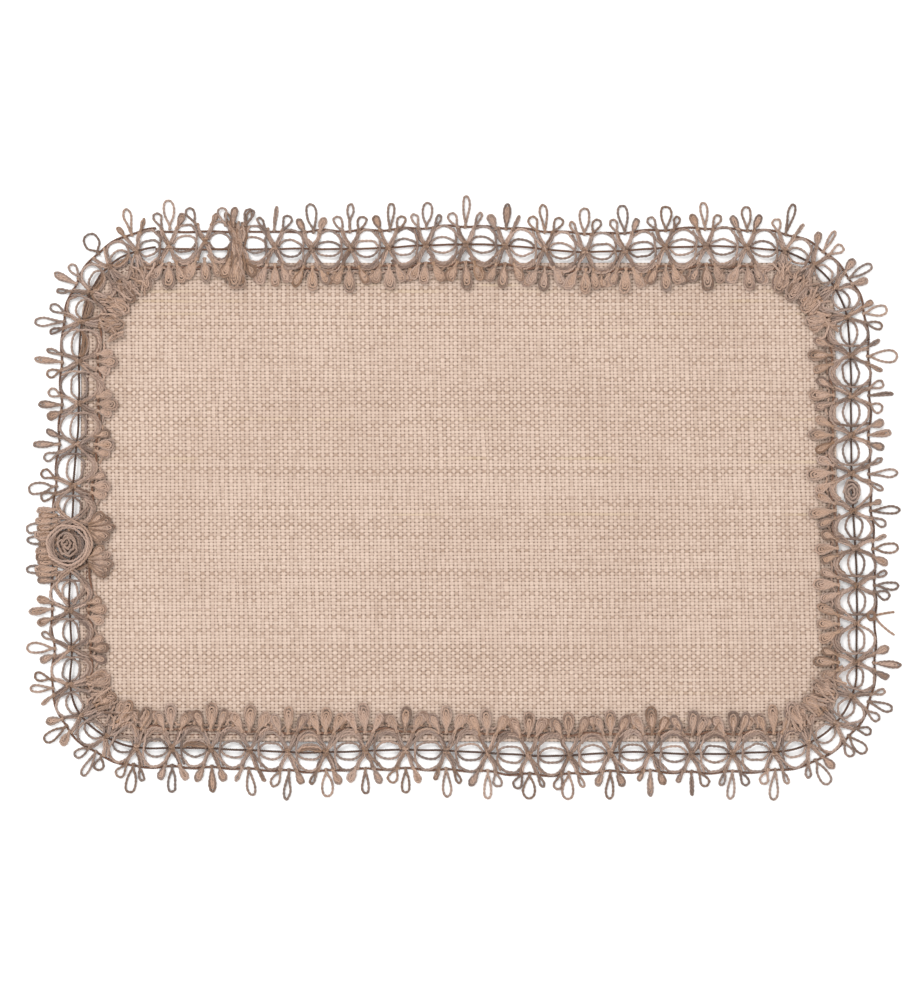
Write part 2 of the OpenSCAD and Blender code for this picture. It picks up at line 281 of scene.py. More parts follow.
# ---------------------------------------------------------------- strands into meshes
def curve_through(points, closed=False, step=0.45 * MM):
    """Points a step apart on a Catmull-Rom curve through the control points."""
    p = np.asarray(points, float)
    if closed:
        p = np.vstack([p[-1:], p, p[:2]])
    else:
        p = np.vstack([2 * p[:1] - p[1:2], p, 2 * p[-1:] - p[-2:-1]])
    t = np.linspace(0, 1, 13)[:-1, None]
    dense = []
    for a, b, c, e in zip(p[:-3], p[1:-2], p[2:-1], p[3:], strict=True):
        square, cube = 2 * a - 5 * b + 4 * c - e, 3 * b - a - 3 * c + e
        dense.append(0.5 * (2 * b + (c - a) * t + square * t**2 + cube * t**3))
    dense = np.vstack([*dense, p[-2:-1]])
    run = np.concatenate([[0], np.cumsum(np.linalg.norm(np.diff(dense, axis=0), axis=1))])
    count = max(4, int(round(run[-1] / step)) + 1)
    at = np.linspace(0, run[-1], count)
    return np.stack([np.interp(at, run, dense[:, i]) for i in range(3)], -1)


class Tubes:
    """A mesh of many tubes. Each tube has lobed sides that turn as it goes, like plied yarn."""

    def __init__(self):
        self.points, self.quads, self.uvs, self.dyes, self.caps, self.count = [], [], [], [], [], 0

    def add(self, path, radius, lobe=0.16, lay=4.4 * MM, sides=8, dye=(0.5, 0.0, 0.0), closed=False):
        n = len(path)
        ahead = np.gradient(path, axis=0)
        if closed:
            ahead[0] = ahead[-1] = path[1] - path[-2]
        ahead /= np.linalg.norm(ahead, axis=1)[:, None] + 1e-12
        across = np.cross(ahead, [0, 0, 1.0])
        across /= np.linalg.norm(across, axis=1)[:, None] + 1e-12
        up = np.cross(across, ahead)
        run = np.concatenate([[0], np.cumsum(np.linalg.norm(np.diff(path, axis=0), axis=1))])
        turns = run[-1] / lay
        if closed:
            turns = max(0.5, round(turns * 2) / 2)
        phase = rng.uniform(0, 2 * math.pi)
        angle = phase + 2 * math.pi * turns * run / run[-1]
        k = np.arange(sides)
        around = angle[:, None] + 2 * math.pi * k / sides
        r = radius if np.ndim(radius) == 0 else np.asarray(radius)[:, None]
        r = r * (1 + lobe * np.cos(4 * math.pi * k / sides))[None, :]
        ring = (
            path[:, None, :]
            + (r * np.cos(around))[..., None] * across[:, None, :]
            + (r * np.sin(around))[..., None] * up[:, None, :]
        )
        first = self.count
        i = np.arange(n - 1)[:, None]
        j = (k + 1) % sides
        a = first + i * sides + k
        b = first + (i + 1) * sides + k
        c = first + (i + 1) * sides + j
        d = first + i * sides + j
        self.quads.append(np.stack([a, b, c, d], -1).reshape(-1, 4))
        start = rng.uniform(0, 900)
        u = (start + run / MM)[:, None]
        low, high = k / sides, (k + 1) / sides
        ua, ub = np.broadcast_to(u[:-1], (n - 1, sides)), np.broadcast_to(u[1:], (n - 1, sides))
        va, vb = np.broadcast_to(low, (n - 1, sides)), np.broadcast_to(high, (n - 1, sides))
        self.uvs.append(np.stack([ua, va, ub, va, ub, vb, ua, vb], -1).reshape(-1, 2))
        self.points.append(ring.reshape(-1, 3))
        dye = np.asarray(dye, float)
        if dye.ndim == 1:
            dye = np.broadcast_to(dye, (n, 3))
        self.dyes.append(np.repeat(dye, sides, axis=0))
        self.caps.append(first + k[::-1])
        self.caps.append(first + (n - 1) * sides + k)
        self.count += n * sides

    def build(self, name, material):
        points, quads = np.vstack(self.points), np.vstack(self.quads)
        caps = self.caps
        mesh = bpy.data.meshes.new(name)
        mesh.vertices.add(len(points))
        mesh.vertices.foreach_set("co", points.astype(np.float32).ravel())
        corners = np.concatenate([quads.ravel(), *caps])
        totals = np.concatenate([np.full(len(quads), 4), [len(c) for c in caps]])
        starts = np.concatenate([[0], np.cumsum(totals)[:-1]])
        mesh.loops.add(len(corners))
        mesh.loops.foreach_set("vertex_index", corners.astype(np.int32))
        mesh.polygons.add(len(totals))
        mesh.polygons.foreach_set("loop_start", starts.astype(np.int32))
        mesh.update(calc_edges=True)
        mesh.polygons.foreach_set("use_smooth", np.ones(len(totals), bool))
        uv = np.zeros((len(corners), 2), np.float32)
        uv[: quads.size] = np.vstack(self.uvs)
        mesh.uv_layers.new(name="strand").data.foreach_set("uv", uv.ravel())
        dyes = np.ones((len(points), 4), np.float32)
        dyes[:, :3] = np.vstack(self.dyes)
        mesh.color_attributes.new("dye", "FLOAT_COLOR", "POINT").data.foreach_set("color", dyes.ravel())
        mesh.materials.append(material)
        piece = bpy.data.objects.new(name, mesh)
        bpy.context.scene.collection.objects.link(piece)
        return piece


# ---------------------------------------------------------------- materials
class Nodes:
    """A short way to write a material's node tree."""

    def __init__(self, name):
        self.material = bpy.data.materials.new(name)
        self.material.use_nodes = True
        self.tree = self.material.node_tree
        self.shader = self.tree.nodes["Principled BSDF"]

    def add(self, kind, inputs=(), **settings):
        node = self.tree.nodes.new(kind)
        for key, value in settings.items():
            setattr(node, key, value)
        for key, value in dict(inputs).items():
            self.plug(node.inputs[key], value)
        return node

    def plug(self, socket, value):
        if isinstance(value, bpy.types.NodeSocket):
            self.tree.links.new(value, socket)
        else:
            socket.default_value = value

    def math(self, operation, a, b=0.0):
        return self.add("ShaderNodeMath", {0: a, 1: b}, operation=operation).outputs[0]

    def times(self, a, b):
        return self.math("MULTIPLY", a, b)

    def plus(self, a, b):
        return self.math("ADD", a, b)

    def ramp(self, value, low, high, to_low=0.0, to_high=1.0):
        """value eased from to_low at low to to_high at high."""
        node = self.add("ShaderNodeMapRange", {"Value": value}, interpolation_type="SMOOTHSTEP")
        ends = {"From Min": low, "From Max": high, "To Min": to_low, "To Max": to_high}
        for key, number in ends.items():
            node.inputs[key].default_value = number
        return node.outputs[0]

    def mix(self, share, a, b, blend="MIX"):
        node = self.add("ShaderNodeMix", data_type="RGBA", blend_type=blend)
        for socket, value in ((node.inputs[0], share), (node.inputs[6], a), (node.inputs[7], b)):
            self.plug(socket, value)
        return node.outputs[2]

    def noise(self, vector, scale, detail=2.0, rough=0.5):
        settings = {"Vector": vector, "Scale": scale, "Detail": detail, "Roughness": rough}
        return self.add("ShaderNodeTexNoise", settings).outputs["Fac"]

    def vector(self, x, y, z=0.0):
        return self.add("ShaderNodeCombineXYZ", {0: x, 1: y, 2: z}).outputs[0]

    def random(self, *xyz):
        node = self.add("ShaderNodeTexWhiteNoise", {"Vector": self.vector(*xyz)}, noise_dimensions="3D")
        return node.outputs["Value"]


# How dark the painted shade in a twine's grooves is, as a share of its dark colour.
GROOVE_PAINTED_SHADE = 0.45


def srgb(r, g, b):
    """An sRGB colour, 0 to 255, as the linear colour a shader takes."""
    return tuple(((c / 255 + 0.055) / 1.055) ** 2.4 for c in (r, g, b)) + (1,)


YARN_LIGHT, YARN_DARK = srgb(201, 180, 165), srgb(163, 140, 123)
YARN_FIBRE, YARN_STRAW, YARN_CLOUD = srgb(150, 125, 110), srgb(186, 165, 128), srgb(166, 142, 126)
YARN_SIDE_SHADE, HOLE_SHADE_COLOUR = srgb(118, 93, 78), srgb(74, 50, 38)


def burlap_material():
    """Plain-woven jute. The UV map counts threads, so a whole number is a thread's middle."""
    m = Nodes("burlap_weave")
    uv = m.add("ShaderNodeUVMap", uv_map="threads").outputs[0]
    u, v, _ = m.add("ShaderNodeSeparateXYZ", {0: uv}).outputs
    i, j = m.math("ROUND", u), m.math("ROUND", v)
    across_warp = m.math("ABSOLUTE", m.math("SUBTRACT", u, i))
    across_weft = m.math("ABSOLUTE", m.math("SUBTRACT", v, j))
    even = m.math("PINGPONG", m.plus(i, j), 1.0)
    warp_on_top = m.math("SUBTRACT", 1.0, even)

    def on_top(warp, weft):
        """The value of whichever thread is on top."""
        return m.plus(m.times(warp_on_top, warp), m.times(even, weft))

    warp_slub = m.noise(m.vector(m.times(i, 7.31), m.times(v, 0.06)), 1.0)
    weft_slub = m.noise(m.vector(m.times(u, 0.04), m.times(j, 5.17)), 1.0)
    warp_tone = m.plus(m.times(m.random(i, 3.0, 0.0), 0.22), m.times(warp_slub, 0.5))
    weft_tone = m.plus(m.times(m.random(j, 9.0, 1.0), 0.44), m.times(weft_slub, 0.82))
    tone = m.plus(on_top(warp_tone, weft_tone), m.times(m.random(i, j, 6.0), 0.34))

    fibre_warp = m.noise(m.vector(m.times(u, 11.0), m.times(v, 1.6)), 1.0, 3.0, 0.6)
    fibre_weft = m.noise(m.vector(m.times(u, 1.6), m.times(v, 11.0), 4.0), 1.0, 3.0, 0.6)
    fibre = on_top(fibre_warp, fibre_weft)
    cloudy = m.noise(m.add("ShaderNodeTexCoord").outputs["Object"], 16.0, 3.0)

    yarn = m.mix(m.ramp(tone, 0.4, 1.25), YARN_LIGHT, YARN_DARK)
    yarn = m.mix(m.ramp(fibre, 0.42, 0.75, 0.0, 0.7), yarn, YARN_FIBRE)
    straw_yarn = m.ramp(m.random(j, 2.0, 5.0), 0.86, 0.97)
    straw_run = m.ramp(m.noise(m.vector(m.times(u, 0.05), m.times(j, 3.3), 7.0), 1.0), 0.5, 0.66)
    yarn = m.mix(m.times(m.times(straw_yarn, straw_run), 0.3), yarn, YARN_STRAW)
    yarn = m.mix(m.ramp(cloudy, 0.4, 0.65, 0.0, 0.16), yarn, YARN_CLOUD)

    # Gaps between threads are painted dark: a painted shade, at random stronger or weaker, for the shadow
    # seen through them.
    hole = m.times(m.ramp(across_warp, 0.23, 0.44), m.ramp(across_weft, 0.24, 0.44))
    # The top thread is painted darker towards its sides: a painted shade where it curves down under the
    # other thread.
    side = m.math("MAXIMUM", m.times(warp_on_top, across_warp), m.times(even, across_weft))
    hole_shade_strength = m.ramp(m.random(i, j, 2.0), 0.0, 1.0, 0.62, 1.0)
    colour = m.mix(m.ramp(side, 0.25, 0.5, 0.0, 0.3), yarn, YARN_SIDE_SHADE)
    colour = m.mix(m.times(hole, hole_shade_strength), colour, HOLE_SHADE_COLOUR)
    m.plug(m.shader.inputs["Base Color"], colour)
    m.plug(m.shader.inputs["Roughness"], m.ramp(fibre, 0.3, 0.8, 0.72, 0.95))
    m.shader.inputs["Sheen Weight"].default_value = 0.1
    m.shader.inputs["Specular IOR Level"].default_value = 0.18

    height = m.math("SUBTRACT", m.times(fibre, 0.5), m.times(hole, 0.8))
    bump = m.add("ShaderNodeBump", {"Height": height, "Strength": 0.6, "Distance": 0.25 * MM})
    m.plug(m.shader.inputs["Normal"], bump.outputs[0])
    return m.material


def twine_material(name, light, dark, warm, grey, sheen=0.12):
    """Plied yarn. U is the length along the strand in mm, V goes once round it.

    A strand's dye is three shares: how dark it is, how warm and how grey.
    """
    m = Nodes(name)
    uv = m.add("ShaderNodeUVMap", uv_map="strand").outputs[0]
    u, v, _ = m.add("ShaderNodeSeparateXYZ", {0: uv}).outputs
    dye = m.add("ShaderNodeVertexColor", layer_name="dye").outputs["Color"]
    tone, warmth, greyness = m.add("ShaderNodeSeparateColor", {0: dye}).outputs
    turn = m.times(v, 2 * math.pi)
    groove = m.math("ABSOLUTE", m.math("COSINE", turn))
    ring_x, ring_y = m.times(m.math("COSINE", turn), 1.5), m.times(m.math("SINE", turn), 1.5)
    fibre = m.noise(m.vector(m.times(u, 0.55), ring_x, ring_y), 2.6, 3.0, 0.62)
    patch = m.noise(m.vector(m.times(u, 0.16), 0.0), 1.0, 2.0)
    drift = m.noise(m.vector(m.times(u, 0.12), 8.0), 1.0, 1.0)
    share = m.plus(m.times(fibre, 0.55), m.times(patch, 0.45))
    share = m.plus(share, m.times(m.math("SUBTRACT", tone, 0.5), 0.5))
    colour = m.mix(m.ramp(share, 0.34, 0.68), light, dark)
    colour = m.mix(m.times(warmth, 0.45), colour, warm)
    colour = m.mix(m.times(m.plus(greyness, m.ramp(drift, 0.5, 0.7, 0.0, 0.5)), 0.6), colour, grey)
    # The grooves between the plies are painted darker: a painted shade in the hollows of the twist.
    painted_groove_colour = tuple(c * GROOVE_PAINTED_SHADE for c in dark[:3]) + (1,)
    colour = m.mix(m.ramp(groove, 0.0, 0.55, 0.5, 0.0), colour, painted_groove_colour)
    m.plug(m.shader.inputs["Base Color"], colour)
    m.plug(m.shader.inputs["Roughness"], m.ramp(fibre, 0.3, 0.7, 0.65, 0.92))
    m.shader.inputs["Sheen Weight"].default_value = sheen
    m.shader.inputs["Specular IOR Level"].default_value = 0.2
    height = m.plus(fibre, m.times(groove, 0.5))
    bump = m.add("ShaderNodeBump", {"Height": height, "Strength": 0.7, "Distance": 0.12 * MM})
    m.plug(m.shader.inputs["Normal"], bump.outputs[0])
    return m.material


# ---------------------------------------------------------------- the cloth
WARP_PITCH = 2.19 * MM
WEFT_PITCH = 1.72 * MM
STEPS_PER_THREAD = 4
FOLD_R = 0.5 * MM
YARN_RISE = 0.3 * MM
YARN_ROUND = 0.26 * MM
THREAD_WANDER = 0.07
FULL_TURN = 6.28
FIELD_WAVE = 0.2 * MM
FIELD_RISE = 0.3 * MM
FIELD_EASE = 60 * MM
LOWEST = 0.02 * MM


def thread_counts(x, y, pitch, seed):
    """Thread number, counted across x, at each grid point. The threads wander a little along y."""
    r = np.random.default_rng(seed)
    n = int((x.max() - x.min()) / pitch) + 9
    home = (np.arange(n) - n // 2).astype(float)
    shift = r.normal(0, THREAD_WANDER, n)
    sway = r.normal(0, THREAD_WANDER, (3, n))
    phase = r.uniform(0, FULL_TURN, (3, n))
    waves = np.array([0.21, 0.083, 0.034])
    counts = np.empty((len(x), len(y)))
    for col, here in enumerate(y):
        turn = [here / wave * FULL_TURN for wave in waves]
        at = home + shift + sum(sway[w] * np.sin(turn[w] + phase[w]) for w in range(3))
        counts[:, col] = np.interp(x / pitch, at, home)
    return counts


def fold_under(flat):
    """Where a point of the flat cut goes: top of the panel, round the fold, or under as the hem."""
    d = panel_distance(flat + PANEL_MID)
    eps = 1e-6
    slope_x = panel_distance(flat + PANEL_MID + [eps, 0]) - d
    slope_y = panel_distance(flat + PANEL_MID + [0, eps]) - d
    normal = np.stack([slope_x, slope_y], -1) / eps
    t = d + FOLD_R
    turn = np.clip(t / FOLD_R, 0, math.pi)
    out = np.where(t < 0, d, -FOLD_R + FOLD_R * np.sin(turn) - np.maximum(t - math.pi * FOLD_R, 0))
    drop = FOLD_R * (1 - np.cos(turn))
    moved = flat + normal * (out - d)[..., None]
    return moved, drop, d, turn


def cloth_piece(material):
    """The panel as one woven sheet, folded under all round as a hem."""
    reach = HEM_W + (math.pi - 1) * FOLD_R
    size = PANEL_HALF + reach
    nx = int(round(2 * size[0] / WARP_PITCH * STEPS_PER_THREAD)) + 1
    ny = int(round(2 * size[1] / WEFT_PITCH * STEPS_PER_THREAD)) + 1
    x, y = np.linspace(-size[0], size[0], nx), np.linspace(-size[1], size[1], ny)
    flat = np.stack(np.meshgrid(x, y, indexing="ij"), -1)
    skew = 0.006 * flat[..., 1] + 1.5 * MM * np.sin(flat[..., 1] / size[1] * 1.4)
    u = thread_counts(x, y, WARP_PITCH, 5) + skew / WARP_PITCH
    v = thread_counts(y, x, WEFT_PITCH, 6).T
    i, j = np.round(u), np.round(v)
    du, dv = u - i, v - j
    over = np.where((i + j) % 2 == 0, 1.0, -1.0)
    warp_z = over * YARN_RISE * np.cos(math.pi * dv) + YARN_ROUND * (np.cos(math.pi * du) - 0.7)
    weft_z = -over * YARN_RISE * np.cos(math.pi * du) + YARN_ROUND * (np.cos(math.pi * dv) - 0.7)
    relief = np.maximum(warp_z, weft_z)
    relief -= relief.max()

    moved, drop, d, turn = fold_under(flat)
    hem = smoothstep(-HEM_W - HEM_STEP, -HEM_W, d)
    top = CLOTH_T * (1 + hem)
    fx, fy = flat[..., 0], flat[..., 1]
    wave = FIELD_WAVE * (np.sin(fx * 62 + 1.1 * np.sin(fy * 31)) + np.sin(fy * 83 + fx * 12))
    wave = (wave + FIELD_RISE) * smoothstep(0, -FIELD_EASE, d)
    z = top - drop + relief * np.cos(turn) + wave
    z = np.maximum(z, LOWEST)
    points = np.stack([moved[..., 0] + PANEL_MID[0], moved[..., 1] + PANEL_MID[1], z], -1).reshape(-1, 3)

    cut = d <= reach
    keep = cut[:-1, :-1] & cut[1:, :-1] & cut[1:, 1:] & cut[:-1, 1:]
    index = np.arange(nx * ny).reshape(nx, ny)
    quads = np.stack([index[:-1, :-1], index[1:, :-1], index[1:, 1:], index[:-1, 1:]], -1)[keep]
    used = np.unique(quads)
    renumber = np.zeros(nx * ny, int)
    renumber[used] = np.arange(len(used))
    quads = renumber[quads]
    mesh = bpy.data.meshes.new("burlap_cloth")
    mesh.vertices.add(len(used))
    mesh.vertices.foreach_set("co", points[used].astype(np.float32).ravel())
    mesh.loops.add(quads.size)
    mesh.loops.foreach_set("vertex_index", quads.astype(np.int32).ravel())
    mesh.polygons.add(len(quads))
    mesh.polygons.foreach_set("loop_start", np.arange(0, quads.size, 4, dtype=np.int32))
    mesh.update(calc_edges=True)
    mesh.polygons.foreach_set("use_smooth", np.ones(len(quads), bool))
    threads = np.stack([u, v], -1).reshape(-1, 2)[used][quads.ravel()]
    mesh.uv_layers.new(name="threads").data.foreach_set("uv", threads.astype(np.float32).ravel())
    mesh.materials.append(material)
    piece = bpy.data.objects.new("burlap_cloth", mesh)
    bpy.context.scene.collection.objects.link(piece)
    cut_size = 2 * size
    cut_area = cut_size[0] * cut_size[1] - (4 - math.pi) * (PANEL_R + reach) ** 2
    return piece, cut_size, cut_area


# ---------------------------------------------------------------- the lace
tubes = {}


def dyed(dark, warm=0.1, grey=0.2):
    """A strand's dye, give or take: how dark, how warm and how grey it is."""
    return np.clip(rng.normal((dark, warm, grey), (0.16, 0.1, 0.16)), 0, 1)


def strand(node, xy, lift, radius=TWINE_R, dye=None, closed=False, golden=0.0, **options):
    """Lays a strand along world points xy, lifted over what is under it, as part of a CAD node.

    golden is how much warmer the strand is at its two ends than along it.
    """
    xy = np.asarray(xy, float)
    lift = np.broadcast_to(np.asarray(lift, float), len(xy))
    path = curve_through(np.column_stack([xy, lift]), closed)
    path[:, 2] += rest_height(path[:, :2])
    dye = np.tile(dyed(0.5) if dye is None else dye, (len(path), 1))
    run = np.linspace(0, 1, len(path))
    dye[:, 1] += golden * np.exp(-((np.minimum(run, 1 - run) / 0.12) ** 2))
    tubes.setdefault(node, Tubes()).add(path, radius, dye=dye, closed=closed, **options)


def beside(xy, gap):
    """The points xy moved gap to the left of the way they run."""
    ahead = np.gradient(xy, axis=0)
    ahead /= np.linalg.norm(ahead, axis=1)[:, None]
    return xy + gap * np.stack([-ahead[:, 1], ahead[:, 0]], -1)


def bundle(node, xy, lift, count, gap, dark=0.5, warm=0.1, grey=0.2, **options):
    """Strands laid side by side along xy, a little unevenly."""
    for i in range(count):
        line = beside(xy, (i - (count - 1) / 2) * gap)
        line = line + rng.normal(0, 0.16 * MM, line.shape)
        rise = lift + rng.uniform(-0.15, 0.15) * MM
        strand(node, line, rise, dye=dyed(dark, warm, grey), **options)


def bent(s, points, shake=0.2 * MM):
    """World points of a strand given as (x along the lace, y outward) in mm from s, bent with it."""
    p = np.asarray(points, float) * MM
    inside = (np.arange(len(p)) % (len(p) - 1) > 0)[:, None]
    p = p + rng.normal(0, shake, p.shape) * inside
    return along(s + p[:, 0], p[:, 1])[0]


def rigid(s, points, d=0.0):
    """World points of a shape given as (x, y outward) in mm at s, kept in shape."""
    origin, heading = along(s, d)
    c, n = math.cos(heading), math.sin(heading)
    x, y = np.asarray(points, float).T * MM
    return origin + np.stack([x * c - y * n, x * n + y * c], -1)


PLAIT = 3.3 * MM
PLAIT_SWING = 0.36 * MM
PLAIT_DIP = 0.16 * MM
PLAIT_STEP = 0.3 * MM


def chain(node, s0, s1, d, lift, dark, warm):
    """A chain-stitched wale from s0 to s1: three threads plaited flat."""
    s = np.linspace(s0, s1, int((s1 - s0) / PLAIT_STEP) + 2)
    xy, heading = along(s, d(s))
    out = np.stack([-np.sin(heading), np.cos(heading)], -1)
    base = rest_height(xy) + lift
    for third in range(3):
        swing = 2 * math.pi * (s / PLAIT + third / 3)
        line = xy + out * (PLAIT_SWING * np.sin(swing))[:, None]
        path = np.column_stack([line, base + PLAIT_DIP * np.sin(2 * swing)])
        dye = dyed(dark, warm, 0.1)
        tubes.setdefault(node, Tubes()).add(path, THREAD_R, lobe=0.05, sides=5, dye=dye)


def wander(s, amount, seed):
    r = np.random.default_rng(seed)
    waves = (7, 13, 23, 41, 67)
    turn = 2 * math.pi / LAP
    return sum(amount * r.uniform(0.3, 1) * np.sin(turn * s * n + r.uniform(0, FULL_TURN)) for n in waves)


def outer_line(s):
    """The outer wale arches over each ring and dips where the petals pull it in."""
    phase = 2 * math.pi * count_at(s)
    return OUTER_GAP + 0.2 * MM - 0.5 * MM * np.cos(phase) + wander(s, 0.14 * MM, 1)


def middle_line(s):
    return wander(s, 0.16 * MM, 2)


def inner_line(s):
    """The inner wale bows round each ring towards the cloth and comes back at the nodes."""
    bow = np.sin(math.pi * count_at(s)) ** 2
    return -INNER_GAP + 0.5 * MM - 1.4 * MM * bow + wander(s, 0.2 * MM, 3)


def wales():
    for part in range(8):
        side = "corners" if part % 2 else SIDES[part // 2]
        s0, s1 = STARTS[part] - CX, STARTS[part + 1] - CX
        chain("outer_wale_" + side, s0, s1, outer_line, LIFT_OUTER_WALE, 0.5, 0.3)
        chain("middle_wale_" + side, s0, s1, middle_line, LIFT_WALE, 0.75, 0.1)
        chain("inner_wale_" + side, s0, s1, inner_line, LIFT_UNDER, 0.1, 0.25)


# A ring's strands, as (x from its first node, y): over the top, the eye, the stay and the scallop.
BOW = [
    (0, 0), (1.6, 3.3), (3.6, 6.9), (6.2, 9.2), (8.8, 9.9),
    (11.6, 9.3), (13.9, 7.2), (16.6, 4.2), (19, 1.3), (20.4, 0),
]
BOW_RISE = np.array([1.85, 1.7, 1.4, 1.05, 0.9, 1.05, 1.4, 1.7, 1.8, 1.85]) * MM
EYE = [(2.3, 0.5), (3.3, 2.4), (5.6, 3.8), (8.8, 4.2), (12.0, 3.6), (14.1, 2.1), (15.1, 0.4)]
EYE_RISE = np.array([1.2, 0.95, 0.75, 0.65, 0.75, 0.95, 1.2]) * MM
STAY = [(14.0, 9.0), (15.0, 6.2), (15.6, 3.0), (15.6, 0), (15.6, -3.0), (15.0, -6.2), (14.0, -9.0)]
STAY_RISE = np.array([1.0, 1.3, 1.6, 1.8, 1.6, 1.3, 1.0]) * MM
SCALLOP = [(2.4, 6.6), (5.2, 9.3), (8.8, 10.6), (12.3, 9.4), (15.0, 6.8)]
FILLED_EYES = (35, 38, 51, 52, 53, 54)
USUAL_SPAN = 20.4


def fitted(points, k, up):
    """A ring's strand stretched to the distance between its two nodes, on the outer or inner half."""
    span = (node_s(k + 1) - node_s(k)) / MM / USUAL_SPAN
    high = rng.normal(1.0, 0.035)
    return [(x * span, up * y * high) for x, y in points]


def rings():
    for k in range(MOTIFS):
        side = SIDES[side_of(ring_s(k))]
        if k == ROSETTE_RING:
            continue
        s = node_s(k)
        for kind, rise, even in (("under_twine_", LIFT_UNDER, 1), ("over_twine_", BOW_RISE, 0)):
            up = 1 if (k + even) % 2 else -1
            dye = dyed(0.55, 0.05, 0.35)
            strand(kind + side, bent(s, fitted(BOW, k, up)), rise, dye=dye, golden=0.7)
        bundle("under_twine_" + side, bent(s, fitted(SCALLOP, k, -1)), LIFT_UNDER, 3, 1.0 * MM, 0.45, 0.2)
        if k == WOUND_RING:
            continue
        for up in (1, -1):
            dye = dyed(0.55, 0.05, 0.5)
            strand("eye_twine_" + side, bent(s, fitted(EYE, k, up)), EYE_RISE, PLY_R, dye)
        stay = bent(s, fitted(STAY, k, 1))
        strand("eye_twine_" + side, stay, STAY_RISE, PLY_R, dyed(0.55, 0.05, 0.3))
        if k in FILLED_EYES:
            for share in (0.3, 0.55, 0.8):
                filling = [(x, y * share) for x, y in EYE]
                line = bent(s, fitted(filling, k, -1))
                strand("eye_twine_" + side, line, EYE_RISE + 0.3 * MM, PLY_R, dyed(0.7, 0.4, 0))


KNOT = [
    [(-1.6, 1.0), (0, 1.3), (1.6, 0.8)],
    [(-1.5, -1.1), (0, -0.8), (1.6, -1.2)],
    [(-0.8, 1.8), (0.2, 0), (0.7, -1.9)],
]


def knots():
    """Short turns of twine that bind the strands together at every node."""
    for k in range(MOTIFS):
        s = node_s(k)
        for turn in KNOT:
            line = bent(s, turn, 0.45 * MM)
            node = "over_twine_" + SIDES[side_of(s)]
            strand(node, line, LIFT_OVER + 0.5 * MM, PLY_R, dyed(0.65, 0.45, 0.05))


# What a petal looks like: its share of the usual length, its width in mm and its waist, then how
# many smaller turns of twine fill it.
PETALS = {
    "o": (1.0, 4.2, 0.66, 0),  # an open loop
    "w": (1.0, 5.3, 0.74, 0),  # a wide round one
    "t": (1.08, 3.7, 0.6, 0),  # a tall narrow one
    "n": (0.95, 2.5, 0.66, 0),  # a nearly closed one
    "r": (1.1, 3.4, 0.22, 0),  # a round head on a long stalk
    "f": (0.96, 3.1, 0.72, 2),  # a leaf, filled
    "s": (0.95, 1.3, 0.7, 0),  # a stalk, its twine doubled back on itself
    "k": (0.7, 2.0, 0.7, 1),  # a short knob
    "W": (0.9, 7.6, 0.9, 0),  # one big loose loop
    "i": (1.0, 4.9, 0.74, 3),  # a petal on the cloth, filled
    "j": (1.0, 3.9, 0.74, 3),  # a narrower one
}


def petal_shape(length, width, waist, lean=0.0):
    """Outline of a petal in mm, from its foot at the origin towards +Y and back."""
    w = width / 2
    half = [(0.5, -1.2), (-0.15 * w, 0.12 * length), (-waist * w, 0.4 * length)]
    half += [(-w, 0.7 * length), (-0.74 * w, 0.92 * length)]
    shape = [*half, (0, length), *[(-x, y) for x, y in half[::-1]]]
    c, s = math.cos(lean), math.sin(lean)
    return np.array([(x * c + y * s, y * c - x * s) for x, y in shape])


PETAL_RISE = np.array([0.9, 0.6, 0.25, 0.1, 0, 0, 0, 0.1, -0.1, -0.2, -0.2]) * 0.5 * MM
TURN_WIDTHS = (0.62, 0.3, 0.05)
TURN_LENGTHS = (0.87, 0.74, 0.62)
FILL_SHARE = 0.8


def petal(node, s, d, up, x, length, lean, kind, lift, dark=0.5, warm=0.1, grey=0.2, radius=PLY_R):
    """One petal with its foot x mm along the lace from s, d outside the middle wale."""
    share, width, waist, turns = PETALS[kind]
    length *= share * rng.normal(1, 0.05)
    width *= rng.normal(1, 0.08)
    lean += rng.normal(0, 0.07)
    outlines = [(length, width, radius, dyed(dark + 0.12, warm, grey + 0.12))]
    for narrow, short in list(zip(TURN_WIDTHS, TURN_LENGTHS, strict=True))[:turns]:
        dye = dyed(dark - 0.2, warm + 0.15, 0)
        outlines.append((length * short, width * narrow, radius * FILL_SHARE, dye))
    for long, wide, thick, dye in outlines:
        shape = petal_shape(long, wide, waist, lean)
        shape = (shape + rng.normal(0, 0.12, shape.shape) + [x, 0]) * [1, up]
        rise = lift + PETAL_RISE + rng.uniform(0, 0.15) * MM
        strand(node, rigid(s, shape, d), rise, thick, dye, golden=0.3)


# The three petals of every outer fan, clockwise from the top's middle. Dots stand for no petal.
FANS = (
    "otn ffs oto nwo owf own foo fof ots fno fof kwo sws oso fff ntn "
    "koo swf noo ... fff noo owo fwn noo otn osk ffk fof nwo nwo otf "
    "nok foo fof fwn fto sos fff fof nwo oto fof soo fwn fff ... ... "
    "owo off ffo ofn noo nfo .W. kts owf o.k n.n nso fwf oro fto own"
).split()
FAN_FOOT = 4.2
SIDE_PETAL = 7.8
MIDDLE_PETAL = 12.8
TALLER_EVERY = 4
ARM = [(1.0, 1.0), (0.72, 0.61), (0.36, 0.3), (0.05, 0.03)]
ARM_RISE = np.array([0.9, 1.2, 1.5, 1.7]) * MM
ARM_REACH = 9.8


def arms(node, s, up, spread, reach):
    """The doubled strands that run from a fan's side petals down to the node."""
    for across in (-1, 1):
        line = bent(s, [(across * spread * x, up * reach * y) for x, y in ARM])
        bundle(node, line, ARM_RISE, 2, 0.95 * MM, 0.5, 0.1, 0.25, radius=PLY_R, golden=0.6)


